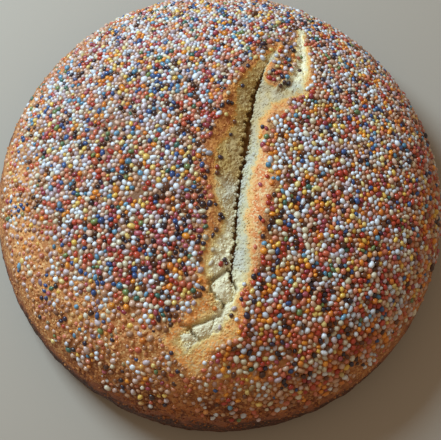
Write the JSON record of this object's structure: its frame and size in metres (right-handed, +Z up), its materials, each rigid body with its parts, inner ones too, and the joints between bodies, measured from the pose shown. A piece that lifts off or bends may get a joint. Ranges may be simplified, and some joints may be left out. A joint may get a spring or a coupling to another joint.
{
  "type": "round loaf with sugar pearls",
  "caption": "Round domed sweet tea loaf with a browned crust, a long torn split across its crown and a dense coat of small coloured sugar pearls, resting on its flat base.",
  "frame": {"origin": "centre of the flat base that the loaf rests on", "axes": "+Z up through the crown; the split runs roughly along Y, from the far right shoulder at +Y to the near left one at -Y"},
  "size_m": [0.18, 0.18, 0.06],
  "materials": {
    "crust": "golden brown baked crust, finely granular, darker at the rim",
    "crumb": "pale, open, torn crumb",
    "pearls_white": "satin sugar shell, slightly mottled",
    "pearls_cream": "satin sugar shell",
    "pearls_yellow": "satin sugar shell",
    "pearls_amber": "satin sugar shell",
    "pearls_coral": "satin sugar shell",
    "pearls_tan": "satin sugar shell, browned by baking",
    "pearls_red": "satin sugar shell",
    "pearls_crimson": "satin sugar shell",
    "pearls_mauve": "satin sugar shell",
    "pearls_sky": "satin sugar shell",
    "pearls_blue": "satin sugar shell",
    "pearls_navy": "satin sugar shell",
    "pearls_green": "satin sugar shell",
    "pearls_burnt": "satin sugar shell, burnt"
  },
  "bodies": {
    "root": {"loaf": "crust"}
  },
  "joints": []
}
